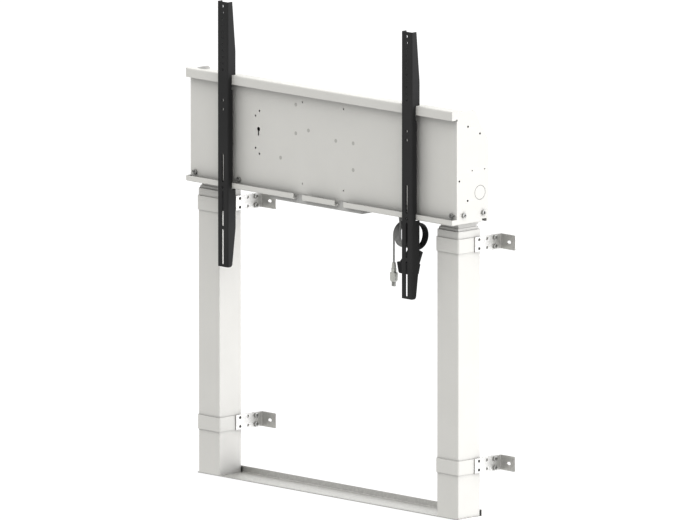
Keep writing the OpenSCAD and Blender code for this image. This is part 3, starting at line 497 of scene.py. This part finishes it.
knockout_shadow_rings = bmesh.new()
for side in (-1, 1):
    knockout_shadow_ring(knockout_shadow_rings, side)
add_piece("knockout_shadow_rings", knockout_shadow_rings, "groove_shade", "carriage")


# Plates that close the ends of the cable tray

TRAY_T = 0.0015
TRAY_TOP_GAP = 0.0002
TRAY_END_T = 0.0012
TRAY_END_EDGE = 0.0002

tray_low, tray_high = node_box("cable_tray")
tray_inside = tray_high[1] - tray_low[1] - 2 * TRAY_T
tray_ends = bmesh.new()
for x in (tray_low[0], tray_high[0]):
    inward = math.copysign(TRAY_END_T, -x)
    foot = tray_low[2] + TRAY_T
    top = beam_z - TRAY_TOP_GAP
    outline = [(0.0, foot), (inward, foot), (inward, top), (0.0, top)]
    place = Matrix.Translation((x, (tray_low[1] + tray_high[1]) / 2, 0.0))
    block(tray_ends, outline, tray_inside, TRAY_END_EDGE, place)
add_piece("cable_tray_ends", tray_ends, "tray_steel", "carriage")


# Moulded connector on the supply lead: a round boot, a neck and a flat body

PLUG_BOOT_H = 0.016
PLUG_BOOT_R = (0.0052, 0.0062)
PLUG_BOOT_EDGE = 0.001
PLUG_NECK = (0.0113, 0.0098, 0.012)
PLUG_NECK_SINK = 0.001
PLUG_BODY = (0.0207, 0.0112, 0.026)
PLUG_CHAMFER = 0.0045
PLUG_EDGE = 0.0008


def make_plug():
    place = Matrix.Translation((supply_end_x, SUPPLY_ENTRY[1], beam_z + PLUG_Z))
    form = bmesh.new()
    top_r, low_r = PLUG_BOOT_R
    lathe(form, [
        (low_r, -PLUG_BOOT_H),
        (top_r, -PLUG_BOOT_EDGE),
        (top_r - PLUG_BOOT_EDGE / 2, -PLUG_BOOT_EDGE / 4),
        (top_r - PLUG_BOOT_EDGE, 0.0),
    ], place)
    neck_half = PLUG_NECK[0] / 2
    neck_top = -PLUG_BOOT_H
    body_top = neck_top - PLUG_NECK[2]
    neck_low = body_top - PLUG_NECK_SINK
    neck = [(-neck_half, neck_low), (neck_half, neck_low), (neck_half, neck_top), (-neck_half, neck_top)]
    block(form, neck, PLUG_NECK[1], PLUG_EDGE, place)
    half = PLUG_BODY[0] / 2
    low = body_top - PLUG_BODY[2]
    block(form, [
        (half, body_top), (-half, body_top), (-half, low + PLUG_CHAMFER),
        (PLUG_CHAMFER - half, low), (half - PLUG_CHAMFER, low), (half, low + PLUG_CHAMFER),
    ], PLUG_BODY[1], PLUG_EDGE, place)
    return add_piece("plug_shell", form, "plug_plastic", "carriage", ["supply_plug"])


make_plug()


# Dished buttons with rounded rims, and softened edges on the handset

# Distance in from the rim, and down from the top
BUTTON_RIM = [
    (0.0, 0.0009), (0.0002, 0.0004), (0.0006, 0.0001), (0.0011, 0.0), (0.0025, 0.0002), (0.005, 0.0004),
]
HANDSET_EDGE = 0.0009

for name in ("up_button", "down_button"):
    low, high = node_box(name)
    radius = (high[0] - low[0]) / 2
    height = high[1] - low[1]
    profile = [(radius, 0.0)] + [(radius - inward, height - down) for inward, down in BUTTON_RIM]
    place = facing((0, -1, 0), ((low[0] + high[0]) / 2, high[1], (low[2] + high[2]) / 2))
    cap = bmesh.new()
    lathe(cap, profile, place)
    add_piece(name + "_cap", cap, "button_plastic", name, [name])

soften = nodes["handset"].modifiers.new("soften", "BEVEL")
soften.width = HANDSET_EDGE
soften.segments = EDGE_STEPS
soften.limit_method = "ANGLE"
soften.angle_limit = SHARP
soften.harden_normals = True


# Floor and light

FLOOR_SIZE = 60.0
FLOOR_DROP = 0.0002
FLOOR_COLOUR = (0.12, 0.12, 0.12, 1.0)
FLOOR_ROUGHNESS = 0.9
FLOOR_SHINE = 0.1
FLOOR_GLOW = 0.92
WHITE = (1.0, 1.0, 1.0, 1.0)
SKY_STRENGTH = 1.12
SKY_FRONT = 0.5
FRONT_Y = -1.0
SIDE_Y = 0.0
SIDE_FROM = Vector((0.75, 0.64, 0.10))
SIDE_STRENGTH = 0.82
SIDE_COLOUR = (1.0, 1.0, 1.06)
SIDE_SPREAD = math.radians(50)
TOP_FROM = Vector((0.0, -0.35, 0.94))
TOP_STRENGTH = 0.6
TOP_COLOUR = (1.0, 1.0, 1.0)
TOP_SPREAD = math.radians(70)
CONTRAST_GAMMA = 0.75


def make_floor():
    mesh = bpy.data.meshes.new("floor")
    half = FLOOR_SIZE / 2
    corners = [(-half, -half, 0), (half, -half, 0), (half, half, 0), (-half, half, 0)]
    mesh.from_pydata(corners, [], [(0, 1, 2, 3)])
    floor = bpy.data.objects.new("floor", mesh)
    scene.collection.objects.link(floor)
    floor.location.z = -FLOOR_DROP
    floor.visible_diffuse = False
    floor.visible_glossy = False
    paint = bpy.data.materials.new("floor_paint")
    paint.use_nodes = True
    shader = paint.node_tree.nodes["Principled BSDF"]
    shader.inputs["Base Color"].default_value = FLOOR_COLOUR
    shader.inputs["Roughness"].default_value = FLOOR_ROUGHNESS
    shader.inputs["Specular IOR Level"].default_value = FLOOR_SHINE
    shader.inputs["Emission Color"].default_value = WHITE
    shader.inputs["Emission Strength"].default_value = FLOOR_GLOW
    mesh.materials.append(paint)


def make_sky():
    """Even light from all round that is weaker straight from the front."""
    world = bpy.data.worlds.new("studio")
    world.use_nodes = True
    tree = world.node_tree
    background = tree.nodes["Background"]
    background.inputs["Color"].default_value = WHITE
    split = tree.nodes.new("ShaderNodeSeparateXYZ")
    tree.links.new(tree.nodes.new("ShaderNodeTexCoord").outputs["Generated"], split.inputs["Vector"])
    fade = tree.nodes.new("ShaderNodeMapRange")
    fade.inputs["From Min"].default_value = FRONT_Y
    fade.inputs["From Max"].default_value = SIDE_Y
    fade.inputs["To Min"].default_value = SKY_FRONT * SKY_STRENGTH
    fade.inputs["To Max"].default_value = SKY_STRENGTH
    tree.links.new(split.outputs["Y"], fade.inputs["Value"])
    tree.links.new(fade.outputs["Result"], background.inputs["Strength"])
    scene.world = world


def make_light(name, origin, strength, colour, spread):
    """Wide soft light from a direction."""
    data = bpy.data.lights.new(name, "SUN")
    data.energy = strength
    data.color = colour
    data.angle = spread
    made = bpy.data.objects.new(name, data)
    scene.collection.objects.link(made)
    made.rotation_mode = "QUATERNION"
    made.rotation_quaternion = origin.to_track_quat("Z", "Y")


make_floor()
make_sky()
make_light("side", SIDE_FROM, SIDE_STRENGTH, SIDE_COLOUR, SIDE_SPREAD)
make_light("top", TOP_FROM, TOP_STRENGTH, TOP_COLOUR, TOP_SPREAD)
scene.view_settings.view_transform = "Standard"
scene.view_settings.gamma = CONTRAST_GAMMA
scene.cycles.use_denoising = True
scene.cycles.diffuse_bounces = 0
